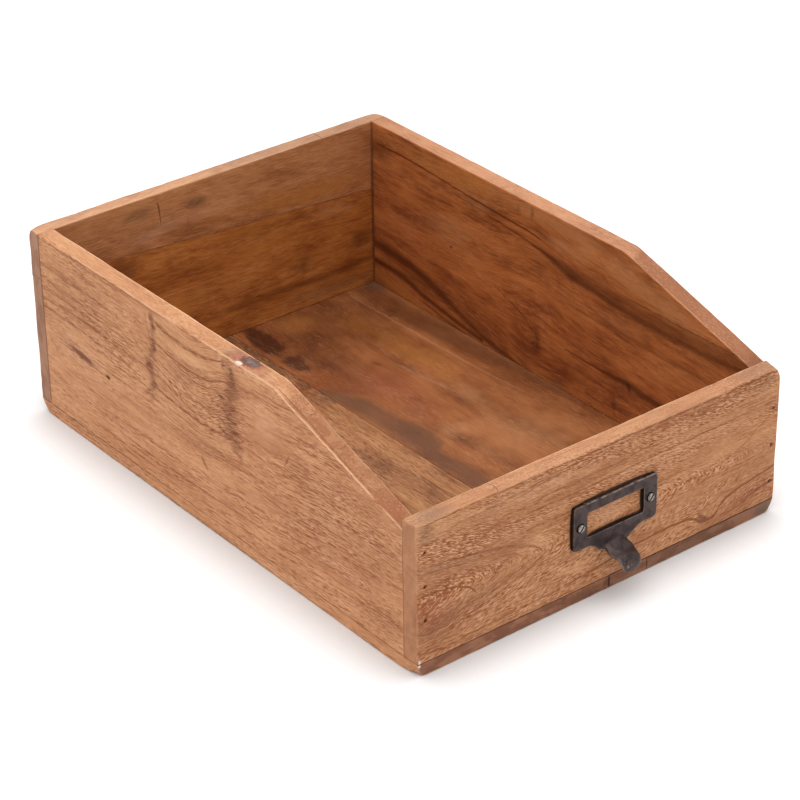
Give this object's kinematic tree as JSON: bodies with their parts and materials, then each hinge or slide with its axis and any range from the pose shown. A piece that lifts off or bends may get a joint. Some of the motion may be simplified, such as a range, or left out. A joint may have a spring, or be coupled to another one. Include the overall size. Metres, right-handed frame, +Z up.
{
  "type": "document tray",
  "caption": "Open-topped wooden desk tray for documents, sides sloping down to a low front with an iron label holder and finger pull.",
  "frame": {"origin": "middle of the box's footprint, on the underside of the bottom planks", "axes": "+X to the right-hand side seen from the front, +Y to the back (the label holder faces -Y), +Z up"},
  "size_m": [0.25, 0.3664, 0.118],
  "materials": {
    "tan_wood": "waxed old wood, tan, with open pores and worn arrises",
    "brown_wood": "waxed old wood, greyish brown",
    "orange_wood": "waxed old wood, orange brown",
    "golden_wood": "waxed old wood, golden brown",
    "dark_iron": "dark bronzed casting, satin, worn at its edges",
    "screw_steel": "dull steel screw heads",
    "nail_steel": "darkened steel nails, heads set below the wood"
  },
  "bodies": {
    "root": {"front_board": "tan_wood", "back_board_lower": "orange_wood", "back_board_upper": "brown_wood", "left_side_board": "tan_wood", "right_side_board": "orange_wood", "bottom_plank_left": "golden_wood", "bottom_plank_right": "orange_wood", "label_holder_pull": "dark_iron", "label_holder_screws": "screw_steel", "front_left_nails": "nail_steel", "front_right_nails": "nail_steel", "back_left_nails": "nail_steel", "back_right_nails": "nail_steel", "bottom_front_nails": "nail_steel", "bottom_back_nails": "nail_steel", "bottom_left_nails": "nail_steel", "bottom_right_nails": "nail_steel"}
  },
  "joints": []
}
